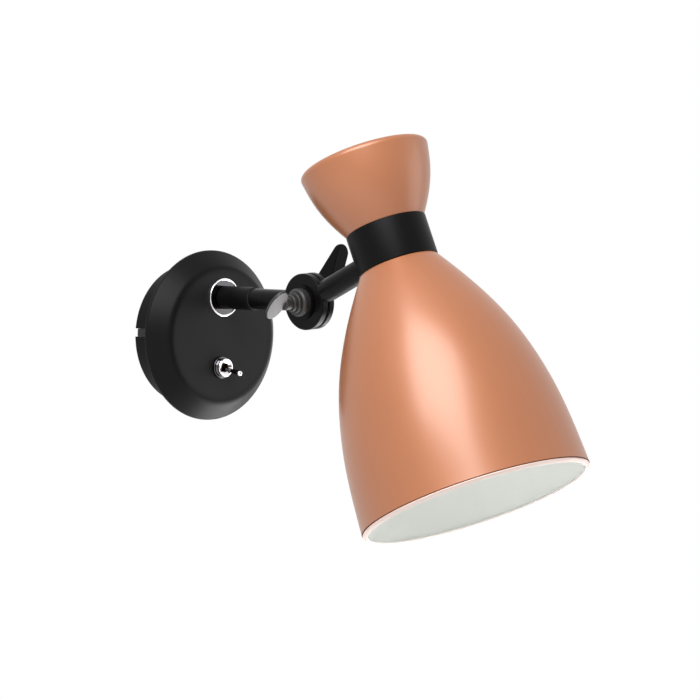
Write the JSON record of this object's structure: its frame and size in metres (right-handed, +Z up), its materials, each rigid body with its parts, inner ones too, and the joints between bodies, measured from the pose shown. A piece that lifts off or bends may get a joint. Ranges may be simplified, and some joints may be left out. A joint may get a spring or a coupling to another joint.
{
  "type": "wall reading lamp",
  "caption": "Wall reading lamp: round rose with toggle switch, jointed arm with a friction knuckle and clamp lever, and a waisted metal shade over a screw lampholder.",
  "frame": {"origin": "centre of the rose's back face, on the wall", "axes": "+Z up, +Y into the wall, +X to the right for someone facing the lamp"},
  "size_m": [0.1495, 0.3299, 0.2577],
  "materials": {
    "black_paint": "matte black powder coat",
    "gloss_black": "gloss black",
    "copper_paint": "satin copper outside, matte white inside the bell",
    "chrome": "polished chrome",
    "zinc": "bright zinc plate",
    "brass": "plain brass",
    "black_plastic": "moulded black",
    "white_plastic": "moulded white",
    "ceramic": "glazed ceramic core",
    "fibre": "vulcanised fibre"
  },
  "bodies": {
    "rose": {"wall_bracket": "zinc", "rose_drum": "black_paint", "drum_screws": "zinc", "rose_cover": "black_paint", "cover_screws": "zinc", "terminal_block": "white_plastic", "terminal_screws": "brass", "earth_screw": "brass", "switch_body": "black_plastic", "switch_bushing": "chrome", "switch_nuts": "chrome", "escutcheon": "chrome", "arm_socket": "black_paint", "socket_nut": "zinc"},
    "toggle": {"switch_lever": "chrome"},
    "swivel_arm": {"lower_knuckle": "black_paint", "swivel_ring": "gloss_black", "friction_washer": "fibre", "pivot_boss": "black_paint", "jam_nuts": "black_paint", "thumb_screw": "gloss_black"},
    "clamp": {"clamp_lever": "black_paint"},
    "head": {"upper_knuckle": "black_paint", "head_tube": "black_paint", "head_nut": "zinc", "collar": "black_paint", "shade_bell": "copper_paint", "shade_cap": "copper_paint", "nipple": "zinc", "nipple_nuts": "zinc", "holder_cap": "black_plastic", "holder_shell": "black_plastic", "holder_core": "ceramic", "thread_shell": "brass", "centre_contact": "brass"}
  },
  "joints": [
    {"name": "arm_swivel", "type": "hinge", "parent": "rose", "child": "swivel_arm", "pos_m": [0, -0.0641, 0.0248], "axis": [0, -1, 0], "range_deg": [-166.4, 153.6]},
    {"name": "head_tilt", "type": "hinge", "parent": "swivel_arm", "child": "head", "pos_m": [0, -0.116, 0.0248], "axis": [-0.9938, 0, -0.1115], "range_deg": [-53, 52]},
    {"name": "clamp_turn", "type": "hinge", "parent": "swivel_arm", "child": "clamp", "pos_m": [0, -0.116, 0.0248], "axis": [0.9938, 0, 0.1115], "range_deg": [-45, 45]},
    {"name": "toggle_flip", "type": "hinge", "parent": "rose", "child": "toggle", "pos_m": [0, -0.0335, -0.0205], "axis": [-1, 0, 0], "range_deg": [0, 31.4]}
  ]
}
